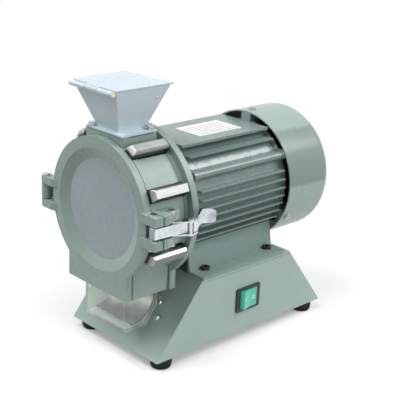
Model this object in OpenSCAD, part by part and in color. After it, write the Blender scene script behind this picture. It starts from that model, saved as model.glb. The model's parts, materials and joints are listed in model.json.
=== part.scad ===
// Electric grain mill: a knife drum with a hinged door, driven straight off the
// shaft of a fan-cooled motor that stands in a cradle on a folded sheet base.
// +Z is up, the shaft runs along Y, the door faces -Y and the switch faces +X.

/* [Base] */
// Length of the base along its bottom edge
base_l = 255; // [245:1:290]
// Length of the flat top of the base
base_top_l = 134; // [130:1:150]
// Width of the base across its side panels
base_w = 143; // [140:1:160]
// Height of the folded sheet, without the feet
base_h = 77; // [72:1:90]
// Thickness of the folded sheet
base_sheet = 2; // [1.5:0.5:3]
// Height of the lip that the base's top sheet turns down over the side panels
lip_h = 3.4; // [2:0.2:5]
// How far the middle of the base lies behind the drum's front face
base_at = 142; // [138:1:146]
// Thickness of the bottom plate
floor_t = 1.5; // [1:0.5:3]
// Height of a rubber foot
foot_h = 12; // [8:1:18]
// Diameter of a rubber foot at its top
foot_d = 23; // [18:1:26]
// Distance from the base's side to the middle of a foot
foot_inset_x = 13; // [12:1:20]
// Distance from the base's end to the middle of a foot
foot_inset_y = 17; // [15:1:30]

/* [Drum] */
// Outer diameter of the knife drum
drum_d = 150; // [148:1:152]
// Length of the drum along the shaft
drum_l = 48; // [46:1:52]
// Diameter of the grinding chamber
chamber_d = 102; // [100:1:104]
// Front face of the drum, measured from the origin
drum_y0 = -126; // [-128:1:-125]
// Height of the shaft above the top of the base
shaft_h = 75; // [74:1:85]
// Depth of the turned band between the drum's two rims
band_depth = 0.9; // [0.5:0.1:1.5]
// Outside width of the discharge chute
chute_w = 95; // [92:1:98]
// Inside width of the chute at its mouth
mouth_w = 57; // [50:1:59]
// How far below the drum the mouth of the chute is
chute_out = 10.3; // [9:0.1:11]
// How far the round flange behind the drum stands out of it
flange_out = 7; // [5:0.5:9]
// Thickness of that flange
back_plate_t = 7.5; // [6:0.5:9]

/* [Door] */
// How far the round part of the door stands over the drum
door_over = 0.5; // [-1:0.5:1]
// Thickness of the door's rim
door_t = 7.8; // [7:0.1:9]
// Diameter at which the sunk dish starts
dish_d = 127.6; // [122:0.1:130]
// Diameter of the flat floor of the dish
dish_floor_d = 104.4; // [96:0.1:108]
// Depth of the dish
dish_depth = 5.5; // [3:0.1:6]
// Length of the plug that closes the chamber
plug_t = 3.5; // [2:0.1:4]
// Gap between the closed door and the drum
door_gap = 0.3; // [0.2:0.1:0.5]
// How far the door's lugs stand proud of its face
lug_proud = 3; // [2:0.5:4]

/* [Hinge and latch] */
// Distance from the drum's side to the hinge pin
hinge_out = 15.5; // [15:0.5:17]
// Height of the knuckle on the drum
knuckle_h = 15.6; // [13:0.1:18]
// Height of each knuckle on the door
door_knuckle_h = 8.2; // [6:0.1:10]
// Radius of the hinge pin
hinge_pin_r = 2.5; // [2:0.1:3]
// Distance from the drum's side to the pin in the door's latch lugs
catch_out = 8.5; // [8.5:0.5:10]
// How far the latch lugs stand out of the drum
latch_lug_out = 17.5; // [17:0.5:19]
// Clear height between the two latch lugs
latch_gap = 15.4; // [14:0.2:18]
// Height of each latch lug
latch_lug_h = 9; // [8:0.5:10]
// Radius of the pin that the strap turns on
catch_pin_r = 2.2; // [1.8:0.1:2.4]
// Radius of the pin that the lever turns on
lever_pin_r = 2.5; // [2:0.1:2.8]

/* [Knives] */
// Width of the head of a fixed knife
knife_head_w = 12; // [10:0.5:13]
// How far a knife head stands out of the drum
knife_head_out = 9; // [6:0.5:11]
// Thickness of a fixed blade
blade_t = 6.6; // [5:0.2:7]
// How far a fixed blade reaches into the chamber
blade_reach = 1; // [0.5:0.1:1.5]
// Gap between the turning and the fixed blades
cutting_gap = 0.7; // [0.5:0.1:1.5]
// Thickness of a turning blade
rotor_blade_t = 6; // [5:0.5:8]
// Radius of the rotor hub
hub_r = 32; // [30:1:34]
// Thickness of the sieve sheet
sieve_t = 1.2; // [0.8:0.1:1.5]
// Radius of a hole in the sieve
sieve_hole_r = 1.5; // [1:0.1:2]

/* [Hopper] */
// Width of the hopper at its top
hopper_top = 68; // [64:1:72]
// Width of the hopper at its bottom
hopper_bottom = 33.6; // [32:0.2:35]
// Height of the hopper's walls
hopper_h = 45.2; // [40:0.1:60]
// Thickness of the hopper's sheet
hopper_sheet = 1.3; // [1:0.1:1.5]
// Height of the cast pad's top above the drum
pad_rise = 5; // [4:1:9]
// Width of the cast pad under the hopper
pad_w = 58; // [57:1:60]
// Thickness of the lid
lid_t = 1.5; // [1:0.1:2]
// Radius of the rod that the lid turns on
lid_rod_r = 1.3; // [1.1:0.1:1.6]

/* [Motor] */
// Length of the finned housing
motor_l = 125; // [120:1:132]
// Radius of the housing between its fins
motor_r = 61; // [60:0.5:62]
// Radius that the fin tips reach
fin_tip_r = 68; // [66:0.5:70]
// Distance from one fin to the next
fin_pitch = 9.1; // [8.8:0.1:9.2]
// Thickness of a fin at its tip
fin_t = 1.8; // [1.4:0.1:2.4]
// Length of the front end shield
front_shield_l = 19; // [18:1:22]
// Thickness of the cradle's sheet
cradle_t = 3.2; // [2:0.1:3.4]
// Distance between the cradle's bolts across the shaft
cradle_bolt_x = 113; // [112:1:118]
// Distance between the cradle's bolts along the shaft
cradle_bolt_y = 95; // [80:1:98]
// Diameter of the fan cowl
cowl_d = 145; // [144:1:150]
// Length of the fan cowl
cowl_l = 69; // [64:1:80]
// Thickness of the cowl's sheet
cowl_sheet = 1.5; // [1:0.1:2]
// Radius of the cowl's rounded rear edge
cowl_round = 12; // [8:1:15]
// How far the windings stand out of the stator
winding_l = 17; // [14:0.5:17]
// Radius of the shaft in its bearings
shaft_r = 7.5; // [7:0.5:8]

/* [Collecting box] */
// Outside width of the collecting box
box_w = 65; // [60:1:66]
// Wall of the collecting box
box_wall = 2.5; // [2:0.1:3]
// Height of the box's floor above the base's bottom edge
box_floor = 24; // [22:1:28]

/* [Switch and inlet] */
// Length of the switch's frame along the base
bezel_l = 35.5; // [33:0.5:38]
// Height of the switch's frame
bezel_h = 27.5; // [26:0.5:30]
// Middle of the switch along the base
switch_y = 17.8; // [10:0.1:40]
// Middle of the switch above the base's bottom edge
switch_z = 38.2; // [32:0.1:45]
// Radius of the rocker's ends about its pivot
rocker_r = 12.4; // [11:0.1:13]
// Depth of the switch's body behind its frame
switch_depth = 20; // [18:1:26]
// Length of the power inlet's body along the base
inlet_l = 28; // [26:0.5:30]
// Height of the power inlet's body
inlet_h = 20.4; // [19.4:0.2:21.4]
// Depth of the power inlet's body behind its flange
inlet_depth = 22; // [20:1:28]
// Middle of the power inlet along the base
inlet_y = 45; // [35:1:60]
// Middle of the power inlet above the base's bottom edge
inlet_z = 38; // [32:1:50]
// Diameter of the run capacitor
capacitor_d = 38; // [34:1:38]
// Length of the run capacitor's can
capacitor_l = 66; // [60:1:70]

/* [Hidden] */
$fn = 64;

// Colours
paint = [0.55, 0.64, 0.60];
hopper_paint = [0.74, 0.81, 0.84];
steel = [0.72, 0.72, 0.70];
chrome = [0.82, 0.84, 0.86];
dark_steel = [0.25, 0.25, 0.26];
rubber = [0.16, 0.16, 0.17];
clear = [0.86, 0.88, 0.84, 0.4];
lamp_green = [0.12, 0.62, 0.45];
brass = [0.80, 0.66, 0.32];
copper = [0.72, 0.42, 0.24];
alloy = [0.66, 0.67, 0.68];

// Heights
base_top_z = foot_h + base_h;
shaft_z = base_top_z + shaft_h;
run_fit = 0.06;    // radial clearance of a pin that turns in its bore
side_gap = 0.3;    // clearance between faces that pass each other

// Base profile
base_y = drum_y0 + base_at;        // middle of the base along the shaft
base_y0 = base_y - base_l / 2;
base_y1 = base_y + base_l / 2;
top_y0 = base_y - base_top_l / 2;
top_y1 = base_y + base_top_l / 2;
slope_run = top_y0 - base_y0;
slope_len = sqrt(slope_run * slope_run + base_h * base_h);
slope_tilt = atan2(base_h, slope_run);
// Y of the front slope at a height above the table
function slope_y(z) = base_y0 + (z - foot_h) * slope_run / base_h;
side_x = base_w / 2;

// Places along the shaft
drum_y1 = drum_y0 + drum_l;
plate_y1 = drum_y1 + back_plate_t;
house_y0 = plate_y1 + front_shield_l;
house_y1 = house_y0 + motor_l;
cowl_y0 = house_y1 + 2;
cowl_y1 = cowl_y0 + cowl_l;
door_back_y = drum_y0 - door_gap;
door_face_y = door_back_y - door_t;
lug_front_y = door_face_y - lug_proud;

// Drum and knives
drum_r = drum_d / 2;
chute_drop = drum_r + chute_out;     // from the shaft down to the mouth of the chute
hinge_x = drum_r + hinge_out;
catch_x = drum_r + catch_out;
latch_lug_x = drum_r + latch_lug_out;
lug_root = drum_r - 5;
seam_w = 0.9;                        // width of the step round the drum's face
plate_seam_w = 0.7;                  // width of the step between the chute and the back plate
lip_seam_w = 0.6;                    // width of the seam under the base's lip
chamber_r = chamber_d / 2;
gasket_r = chamber_r + 4;
door_r = drum_r + door_over;
pocket_r = drum_r - 13;              // floor of the pocket of a knife head
pocket_w = knife_head_w + 2;
knife_angles = [60, 24.2, -25.5, 120, 155.8, 205.5];
blade_y0 = drum_y0 + 5;
blade_y1 = drum_y1 - 5;
blade_tip_r = chamber_r - blade_reach;
mouth_top_w = 76;                    // width of the chute just under the sieve
sieve_in = chamber_r + 0.05;
sieve_out = sieve_in + sieve_t;
sieve_half = 52.8;                   // half the angle that the sieve covers
drum_bolt_at = [for (x = [-1, 1]) each [
  [x * 0.743 * (drum_r - 7), 0.669 * (drum_r - 7)],
  [x * (chute_w / 2 - 7.5), 15.3 - chute_drop]
]];
plate_screw_r = 47;

// Hopper
hopper_y = drum_y0 + 21.7;
pad_h = drum_r + pad_rise;
pad_l = 43;
flange_w = 56;
flange_l = 45;
hopper_bolt = [22.5, 18.8];          // half spacings of the hopper's bolts
flange_t = 1.6;
flange_z = shaft_z + pad_h;
hopper_z0 = flange_z + flange_t;
hopper_z1 = hopper_z0 + hopper_h;
lid_z0 = hopper_z1 + 0.2;
lid_barrel_r = lid_rod_r + 1.45;
lid_axis_y = hopper_y - hopper_top / 2 - lid_barrel_r;
lid_axis_z = lid_z0 + lid_t - 3.4;
lid_knuckle = 20;                    // length of the lid's middle knuckle
throat = 28;                         // width of the feed throat
hopper_lean = (hopper_top - hopper_bottom) / 2 / hopper_h;

// Hinge
hinge_y = (lug_front_y + door_back_y) / 2;
hinge_z = shaft_z - 3.8;
knuckle_r = (door_back_y - lug_front_y) / 2;
knuckle_gap = 1.2;
hinge_half = knuckle_h / 2 + knuckle_gap + door_knuckle_h;
pin_head_h = 1.6;

// Latch
latch_z = shaft_z + 1;
latch_half = latch_gap / 2 + latch_lug_h;
catch_y = hinge_y;
lever_pin_x = catch_x + 1;
lever_pin_y = drum_y0 + 16.5;
strap_front_y = lug_front_y + 1.7;
strap_x0 = latch_lug_x - 2.3;        // outer face of the strap at its hook
strap_x1 = strap_x0 + 3.3;           // outer face of the strap at its rear end
strap_y1 = drum_y0 + 30;
strap_t = 2.1;
cheek_t = 1.5;
cheek_out = latch_gap / 2 - side_gap;
strap_half = cheek_out - cheek_t - side_gap;
toggle_r = 2;
toggle_x = strap_x1 + 1.3;
toggle_y = strap_y1 + 2.3;

// Motor inside
stator_y = [house_y0 + 0.292 * motor_l, house_y0 + 0.772 * motor_l];
stator_r = motor_r - 3;
rotor_core_r = 37.5;
bearing_r = 17.5;
bearing_w = 11;
front_bearing_y = house_y0 - 12.5;
rear_bearing_y = house_y1 + 1.5;
rib_z = 34.5;
rib_bolt_x = 56;
low_bolt_r = stator_r - 2.7;         // radius of the two lower tie bolts
low_bolt_angles = [-60, -120];
cowl_screw_angles = [90, -30, 210];
cowl_screw_y = house_y1 + 11;
cowl_flat_r = cowl_d / 2 - cowl_round;
fan_y = house_y1 + 26.5;
fan_r = cowl_d / 2 - 10.5;

// Collecting box
box_z0 = foot_h + box_floor;
box_z1 = shaft_z - chute_drop - 0.7;
box_y0 = drum_y0 + 2.5;
box_y1 = drum_y1 - 1;
box_gap = 1.9;                       // gap between the box and the base's slope
shelf_t = 1.2;
liner_r = 30;
liner_t = 0.8;

// Switch and inlet
switch_at = [side_x, switch_y, foot_h + switch_z];
inlet_at = [-side_x, inlet_y, foot_h + inlet_z];
rocker_h = 20.6;
rocker_pivot = -1;                   // the pivot's place against the panel's face
capacitor_r = capacitor_d / 2;
capacitor_at = [-20, base_y - 20, foot_h + floor_t + capacitor_r];

// ---------- helpers ----------

// A profile with X across and Y up about the shaft, extruded from y0 to y1
module along_y(y0, y1) {
  translate([0, y1, shaft_z]) rotate([90, 0, 0]) linear_extrude(y1 - y0) children();
}

// A profile with Y across and Z up, extruded from x0 to x1
module along_x(x0, x1) {
  translate([x0, 0, 0]) rotate([90, 0, 90]) linear_extrude(x1 - x0) children();
}

// A profile in plan, extruded from z0 to z1
module slab(z0, z1) {
  translate([0, 0, z0]) linear_extrude(z1 - z0) children();
}

// A profile of [radius, y] points, turned round the shaft
module turned() {
  translate([0, 0, shaft_z]) rotate([-90, 0, 0]) rotate_extrude() children();
}

// A cylinder along Y, at x and z from the shaft
module rod_y(r, y0, y1, x = 0, z = 0) {
  translate([x, y0, shaft_z + z]) rotate([-90, 0, 0]) cylinder(r = r, h = y1 - y0);
}

module rod_z(r, x, y, z0, z1) {
  translate([x, y, z0]) cylinder(r = r, h = z1 - z0);
}

module rounded_square(w, h, r) {
  square([w - 2 * r, h], center = true);
  square([w, h - 2 * r], center = true);
  for (x = [-1, 1], y = [-1, 1]) translate([x * (w / 2 - r), y * (h / 2 - r)]) circle(r);
}

// A hexagon with the given distance across its flats
module hexagon(flats) {
  circle(r = flats / sqrt(3), $fn = 6);
}

// A disc that runs down into the chute
module keyhole(r, w, lower = 0) {
  circle(r);
  translate([-w / 2, -chute_drop - lower]) square([w, chute_drop + lower]);
}

// A part of a ring, a to b degrees from +X
module ring_part(r0, r1, a, b) {
  intersection() {
    difference() {
      circle(r1);
      circle(r0);
    }
    mid = (a + b) / 2;
    far = 2 * r1;
    half = (b - a) / 2;
    polygon([
      [0, 0], far * [cos(a), sin(a)], far / cos(half / 2) * [cos(mid - half / 2), sin(mid - half / 2)],
      far / cos(half / 2) * [cos(mid + half / 2), sin(mid + half / 2)], far * [cos(b), sin(b)]
    ]);
  }
}

// ---------- base ----------

module base_outline(inset) {
  shift = inset * slope_len / base_h;
  cut = inset * (slope_len - slope_run) / base_h;
  polygon([
    [base_y0 + shift, foot_h], [top_y0 + cut, base_top_z - inset],
    [top_y1 - cut, base_top_z - inset], [base_y1 - shift, foot_h]
  ]);
}

module cradle_bolt_places() {
  for (x = [-1, 1], y = [0, 1])
    translate([x * cradle_bolt_x / 2, house_y0 + 18 + y * cradle_bolt_y, base_top_z]) children();
}

module foot_places() {
  for (x = [-1, 1], y = [base_y0 + foot_inset_y, base_y1 - foot_inset_y])
    translate([x * (side_x - foot_inset_x), y, 0]) children();
}

// Places of the shelf's screws, with +Z square to the front slope
shelf_screw_at = [[34, 0.588], [41.4, 0.426]];
module shelf_screw_places() {
  for (side = [-1, 1], at = shelf_screw_at)
    translate([side * at[0], slope_y(foot_h + at[1] * base_h), foot_h + at[1] * base_h])
      rotate([slope_tilt, 0, 0]) children();
}

module base_shell() {
  color(paint) difference() {
    along_x(-side_x, side_x) base_outline(0);
    along_x(-side_x + base_sheet, side_x - base_sheet) base_outline(base_sheet);
    translate(switch_at) cube([base_sheet * 4, bezel_l - 4, bezel_h - 4], center = true);
    translate(inlet_at) cube([base_sheet * 4, inlet_l, inlet_h], center = true);
    for (side = [-1, 1])
      translate([side * side_x, base_y, base_top_z - lip_h - lip_seam_w / 2])
        cube([1, base_l, lip_seam_w], center = true);
    cradle_bolt_places() cylinder(r = 2.9, h = base_sheet * 4, center = true);
    shelf_screw_places() cylinder(r = 1.5, h = base_sheet * 4, center = true);
  }
}

module base_floor_plate() {
  inset = base_sheet * slope_len / base_h + floor_t;
  color(paint) difference() {
    translate([-side_x + base_sheet, base_y0 + inset, foot_h])
      cube([base_w - 2 * base_sheet, base_l - 2 * inset, floor_t]);
    foot_places() cylinder(r = 2, h = foot_h + 2 * floor_t);
  }
}

module rubber_feet() {
  color(rubber) foot_places() rotate_extrude()
    polygon([
      [2, foot_h], [foot_d / 2, foot_h], [foot_d / 2, 4], [foot_d / 2 - 1, 0],
      [4.5, 0], [4.5, 4], [2, 4]
    ]);
}

module foot_screws() {
  color(steel) foot_places() {
    translate([0, 0, 2]) cylinder(r = 4, h = 2);
    translate([0, 0, 4]) cylinder(r = 2, h = foot_h + floor_t - 1);
    translate([0, 0, foot_h + floor_t]) linear_extrude(3) hexagon(7);
  }
}

// ---------- switch, inlet and capacitor ----------

module switch_frame() {
  well = [2 * rocker_r + 0.8, rocker_h + 0.8];
  color(rubber) translate(switch_at) difference() {
    union() {
      rotate([90, 0, 90]) linear_extrude(2) rounded_square(bezel_l, bezel_h, 1.5);
      translate([-switch_depth, -(bezel_l - 4) / 2, -(bezel_h - 4) / 2])
        cube([switch_depth, bezel_l - 4, bezel_h - 4]);
    }
    translate([4 - switch_depth, -well[0] / 2, -well[1] / 2])
      cube([switch_depth, well[0], well[1]]);
    translate([rocker_pivot, 0, 0])
      cylinder(r = 1.5 + run_fit, h = rocker_h + 2.4, center = true);
  }
}

module switch_rocker() {
  color(lamp_green) translate(switch_at + [rocker_pivot, 0, 0]) {
    linear_extrude(rocker_h, center = true) intersection() {
      circle(rocker_r);
      polygon([
        [-5, -rocker_r], [8, -rocker_r], [4.6, 0], [4, rocker_r], [-5, rocker_r], [-9, 0]
      ]);
    }
    cylinder(r = 1.5, h = rocker_h + 2, center = true);
  }
}

module power_inlet() {
  color(rubber) translate(inlet_at) difference() {
    union() {
      translate([-2.5, 0, 0]) rotate([90, 0, 90]) linear_extrude(2.5)
        rounded_square(inlet_l + 5, inlet_h + 4.6, 3);
      translate([0, -inlet_l / 2, -inlet_h / 2]) cube([inlet_depth, inlet_l, inlet_h]);
    }
    translate([-3, 0, 0]) rotate([90, 0, 90]) linear_extrude(inlet_depth - 4)
      rounded_square(inlet_l - 3.6, inlet_h - 4, 3);
  }
}

module inlet_blades() {
  color(steel) translate(inlet_at) for (place = [[-7, -2], [0, 2], [7, -2]])
    translate([3, place[0] - 1, place[1] - 2]) cube([inlet_depth - 10, 2, 4]);
}

module run_capacitor() {
  color(dark_steel) translate(capacitor_at) rotate([-90, 0, 0]) {
    cylinder(r = capacitor_r, h = capacitor_l);
    translate([0, 0, capacitor_l]) cylinder(r = 5, h = 8);
  }
}

module capacitor_clip() {
  r = capacitor_r;
  color(steel) translate(capacitor_at + [0, 25, 0]) rotate([-90, 0, 0]) linear_extrude(16)
    difference() {
      union() {
        translate([-r - 1.6, -r - 1.6]) square([2 * r + 3.2, 2 * r + 1.6]);
        translate([-r - 12, r - 1.5]) square([2 * r + 24, 1.5]);
      }
      translate([-r - 0.1, -r - 0.1]) square([2 * r + 0.2, 2 * r + 1]);
    }
}

// ---------- collecting box and its shelf ----------

// Side view of the box, moved in by a wall; its lower rear edge follows the base's slope
function box_side(inset) =
  let (shift = inset * slope_len / base_h,
       z0 = box_z0 + inset,
       rear_y = slope_y(z0) - box_gap - shift,
       wall_y = box_y1 - inset,
       knee_z = z0 + (wall_y - rear_y) * base_h / slope_run)
  [[box_y0 + inset, z0], [rear_y, z0], [wall_y, knee_z],
   [wall_y, box_z1 + inset], [box_y0 + inset, box_z1 + inset]];

module collecting_box() {
  color(clear) difference() {
    along_x(-box_w / 2, box_w / 2) polygon(box_side(0));
    along_x(-box_w / 2 + box_wall, box_w / 2 - box_wall)
      polygon(concat([[box_y0 + box_wall, box_z1 + 1]], [for (i = [0:2]) box_side(box_wall)[i]],
        [[box_y1 - box_wall, box_z1 + 1]]));
  }
}

// Curved steel scoop that the meal slides down
module box_liner() {
  axis = [box_y1 - box_wall - liner_r, box_z0 + box_wall + liner_r + 2];
  half = box_w / 2 - box_wall;
  color(steel) along_x(-half, half) translate(axis) {
    intersection() {
      difference() {
        circle(liner_r);
        circle(liner_r - liner_t);
      }
      translate([0, -liner_r]) square([liner_r, liner_r]);
    }
    translate([liner_r - liner_t, 0]) square([liner_t, box_z1 - 4 - axis[1]]);
  }
}

module box_shelf() {
  top = box_z0 - side_gap;
  high = foot_h + 0.66 * base_h;
  sheet = shelf_t * slope_len / base_h;
  color(paint) difference() {
    union() {
      along_x(-31, 31) polygon([
        [slope_y(top - shelf_t), top - shelf_t], [slope_y(high), high],
        [slope_y(high) - sheet, high], [slope_y(top) - sheet, top],
        [slope_y(top) - sheet, top - shelf_t]
      ]);
      // ears of the screws
      for (side = [-1, 1]) scale([side, 1, 1]) for (at = shelf_screw_at)
        translate([at[0], slope_y(foot_h + at[1] * base_h), foot_h + at[1] * base_h])
          rotate([slope_tilt, 0, 0]) linear_extrude(shelf_t) {
            circle(3.6);
            translate([-14, -3.2]) square([14, 6.4]);
          }
      along_x(-27, 27) polygon([
        [slope_y(top - shelf_t), top - shelf_t], [slope_y(top), top],
        [box_y0 + 15, top], [box_y0 + 15, top - shelf_t]
      ]);
    }
    shelf_screw_places() cylinder(r = 1.5, h = 8, center = true);
  }
}

module shelf_screws() {
  color(chrome) shelf_screw_places() {
    translate([0, 0, -base_sheet - 3]) cylinder(r = 1.5, h = base_sheet + 3 + shelf_t);
    translate([0, 0, shelf_t]) cylinder(r1 = 2.8, r2 = 2, h = 1.4);
  }
}

// ---------- motor ----------

module motor_cradle() {
  foot_z = -shaft_h;
  knee = [44.2, -43.5];
  color(paint) difference() {
    along_y(house_y0, house_y1) difference() {
      union() {
        ring_part(motor_r, motor_r + cradle_t, -136, -44);
        for (side = [-1, 1]) scale([side, 1]) {
          polygon([
            [48.5, foot_z], [48.5 + cradle_t, foot_z + cradle_t], [knee[0] + cradle_t, knee[1]],
            [knee[0], knee[1]]
          ]);
          translate([48.5, foot_z]) square([side_x + 1 - 48.5, cradle_t]);
        }
      }
      circle(motor_r);
    }
    cradle_bolt_places() for (x = [-1, 1]) slab(-1, cradle_t + 1) {
      translate([x * 1.5, 0]) circle(3.2);
      square([3, 6.4], center = true);
    }
  }
}

module cradle_bolts() {
  color(dark_steel) cradle_bolt_places() {
    difference() {
      translate([0, 0, cradle_t]) cylinder(r = 4.6, h = 3.2);
      translate([0, 0, cradle_t + 1.2]) linear_extrude(4) hexagon(4.6);
    }
    translate([0, 0, -base_sheet - 8]) cylinder(r = 2.9, h = base_sheet + 8 + cradle_t);
    translate([0, 0, -base_sheet - 5]) linear_extrude(5) hexagon(10);
  }
}

module fin(z) {
  root = sqrt(pow(motor_r - 1.5, 2) - z * z);
  tip = sqrt(fin_tip_r * fin_tip_r - z * z);
  for (side = [-1, 1]) scale([side, 1]) polygon([
    [root, z - fin_t / 2 - 0.4], [tip, z - fin_t / 2], [tip, z + fin_t / 2],
    [root, z + fin_t / 2 + 0.4]
  ]);
}

module motor_housing() {
  color(paint) difference() {
    union() {
      along_y(house_y0, house_y1) difference() {
        union() {
          circle(motor_r);
          for (i = [0:6]) fin(-rib_z - 1 + i * fin_pitch);
          fin(motor_r - 10.5);
          for (side = [-1, 1]) scale([side, 1]) {
            translate([rib_bolt_x, rib_z]) circle(4);
            translate([46, rib_z - 3.6]) square([rib_bolt_x - 46, 7.2]);
          }
        }
        circle(stator_r);
      }
      along_y(house_y0 - 2.5, house_y1) translate([-36, motor_r - 2]) square([72, 3]);
    }
    for (x = [-1, 1]) rod_y(2.4, house_y0 - 1, house_y1 + 1, x * rib_bolt_x, rib_z);
  }
}

module tie_bolt_lugs(y0, y1) {
  along_y(y0, y1) for (side = [-1, 1]) scale([side, 1]) {
    translate([rib_bolt_x, rib_z]) circle(5);
    translate([45, rib_z - 5]) square([rib_bolt_x - 45, 10]);
  }
}

module tie_bolt_holes(y0, y1) {
  for (x = [-1, 1]) rod_y(2.4, y0, y1, x * rib_bolt_x, rib_z);
  for (a = low_bolt_angles) rod_y(2.4, y0, y1, low_bolt_r * cos(a), low_bolt_r * sin(a));
}

module front_end_shield() {
  color(paint) difference() {
    union() {
      turned() polygon([
        [bearing_r, house_y0], [stator_r - 4, house_y0], [stator_r - 4, house_y0 + 3],
        [stator_r, house_y0 + 3], [stator_r, house_y0], [motor_r + 1, house_y0],
        [motor_r + 1, house_y0 - 6], [50, house_y0 - 6], [50, plate_y1], [43, plate_y1],
        [43, house_y0 - 6], [24, house_y0 - 6], [24, front_bearing_y - 2],
        [11, front_bearing_y - 2], [11, front_bearing_y], [bearing_r, front_bearing_y]
      ]);
      tie_bolt_lugs(house_y0 - 6, house_y0);
    }
    // notch under the overhang of the housing's pad
    along_y(house_y0 - 2.5, house_y0) translate([-36, motor_r - 2]) square([72, 5]);
    tie_bolt_holes(house_y0 - 8, house_y0 + 4);
    for (a = [45:90:359])
      rod_y(2, plate_y1 - 1, house_y0 - 5, plate_screw_r * cos(a), plate_screw_r * sin(a));
  }
}

module rear_end_shield() {
  end = rear_bearing_y + bearing_w;
  color(paint) difference() {
    union() {
      turned() polygon([
        [bearing_r, house_y1], [stator_r - 4, house_y1], [stator_r - 4, house_y1 - 3],
        [stator_r, house_y1 - 3], [stator_r, house_y1], [motor_r + 1, house_y1],
        [motor_r + 1, house_y1 + 6], [24, house_y1 + 6], [24, end + 2], [11, end + 2],
        [11, end], [bearing_r, end]
      ]);
      tie_bolt_lugs(house_y1, house_y1 + 6);
      along_y(house_y1 + 1.5, cowl_screw_y + 5.5) intersection() {
        for (a = cowl_screw_angles) rotate(a) translate([motor_r - 7, -7])
          square([cowl_d / 2 - motor_r + 8, 14]);
        circle(cowl_d / 2 - cowl_sheet);
      }
    }
    tie_bolt_holes(house_y1 - 4, house_y1 + 8);
    cowl_screw_places() cylinder(r = 2, h = 20);
  }
}

module tie_bolt(y0, x, z) {
  y1 = house_y1 + 6;
  rod_y(2.4, y0, y1 + 6, x, z);
  along_y(y0 - 4, y0) translate([x, z]) difference() {
    circle(4);
    hexagon(4);
  }
  along_y(y1, y1 + 4) translate([x, z]) hexagon(7);
}

module tie_bolts() {
  color(dark_steel) {
    for (x = [-1, 1]) tie_bolt(house_y0 - 6, x * rib_bolt_x, rib_z);
    for (a = low_bolt_angles) tie_bolt(house_y0 - 6, low_bolt_r * cos(a), low_bolt_r * sin(a));
  }
}

module stator_core() {
  color(dark_steel) along_y(stator_y[0], stator_y[1]) difference() {
    circle(stator_r);
    circle(rotor_core_r + 0.8);
    for (a = low_bolt_angles) rotate(a) translate([low_bolt_r, 0]) {
      circle(2.5);
      translate([0, -2.5]) square([5, 5]);
    }
  }
}

module stator_windings() {
  color(copper) for (y = [stator_y[0] - winding_l, stator_y[1]]) turned() polygon([
    [41, y + 1], [42, y], [50, y], [52, y + 3], [52, y + winding_l - 3], [50, y + winding_l],
    [42, y + winding_l], [41, y + winding_l - 1]
  ]);
}

module bearing(y) {
  turned() polygon([
    [shaft_r + run_fit, y], [10.5, y], [11, y + 0.6], [14.5, y + 0.6], [15, y], [bearing_r, y],
    [bearing_r, y + bearing_w], [15, y + bearing_w], [14.5, y + bearing_w - 0.6],
    [11, y + bearing_w - 0.6], [10.5, y + bearing_w], [shaft_r + run_fit, y + bearing_w]
  ]);
}

module front_bearing() {
  color(steel) bearing(front_bearing_y);
}

module rear_bearing() {
  color(steel) bearing(rear_bearing_y);
}

// Inner ends of the cowl's screws, with +Z outwards
module cowl_screw_places() {
  for (a = cowl_screw_angles) translate([0, cowl_screw_y, shaft_z]) rotate([0, 90 - a, 0])
    translate([0, 0, cowl_d / 2 - 12.5]) children();
}

module cowl_shape(r, end, round) {
  translate([0, cowl_y0 - 5]) square([r, end - round - cowl_y0 + 5]);
  translate([0, end - round - 1]) square([r - round, round + 1]);
  translate([r - round, end - round]) intersection() {
    circle(round);
    square(round);
  }
}

module fan_cowl() {
  color(paint) difference() {
    turned() difference() {
      intersection() {
        cowl_shape(cowl_d / 2, cowl_y1, cowl_round);
        translate([0, cowl_y0]) square([cowl_d, cowl_l + 10]);
      }
      cowl_shape(cowl_d / 2 - cowl_sheet, cowl_y1 - cowl_sheet, cowl_round - cowl_sheet);
    }
    along_y(cowl_y1 - 3, cowl_y1 + 1) difference() {
      for (i = [0:4]) difference() {
        circle(18.5 + i * (cowl_flat_r - 24.5) / 4);
        circle(14 + i * (cowl_flat_r - 24.5) / 4);
      }
      for (a = [0:45:179]) rotate(a) square([2 * cowl_flat_r + 9, 5], center = true);
    }
    cowl_screw_places() cylinder(r = 2, h = 20);
  }
}

module cowl_screws() {
  color(steel) cowl_screw_places() {
    cylinder(r = 2, h = 12.5);
    translate([0, 0, 12.5]) difference() {
      cylinder(r = 3.8, h = 2.2);
      translate([0, 0, 1.9]) cube([5, 1, 1.6], center = true);
    }
  }
}

// ---------- rotor ----------

module motor_shaft() {
  color(steel) turned() polygon([
    [0, drum_y0 + 4.7], [5.5, drum_y0 + 4.7], [6, drum_y0 + 5.2], [6, drum_y0 + 10],
    [shaft_r, drum_y0 + 10], [shaft_r, front_bearing_y - 2.5], [shaft_r, house_y1 + 43],
    [shaft_r - 1, house_y1 + 44], [0, house_y1 + 44]
  ]);
}

module rotor_core() {
  color(alloy) turned() polygon([
    [shaft_r, stator_y[0]], [30, stator_y[0]], [30, stator_y[0] - 5], [36, stator_y[0] - 5],
    [36, stator_y[0]], [rotor_core_r, stator_y[0]], [rotor_core_r, stator_y[1]],
    [36, stator_y[1]], [36, stator_y[1] + 5], [30, stator_y[1] + 5], [30, stator_y[1]],
    [shaft_r, stator_y[1]]
  ]);
}

module cooling_fan() {
  color(rubber) {
    turned() polygon([
      [shaft_r, fan_y], [fan_r, fan_y], [fan_r, fan_y + 2.5], [13, fan_y + 2.5], [13, fan_y + 16],
      [shaft_r, fan_y + 16]
    ]);
    along_y(fan_y, fan_y + 16) for (a = [0:45:359]) rotate(a)
      translate([12, -1.2]) square([fan_r - 12, 2.4]);
  }
}

rotor_y0 = blade_y0 + 5;

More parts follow.
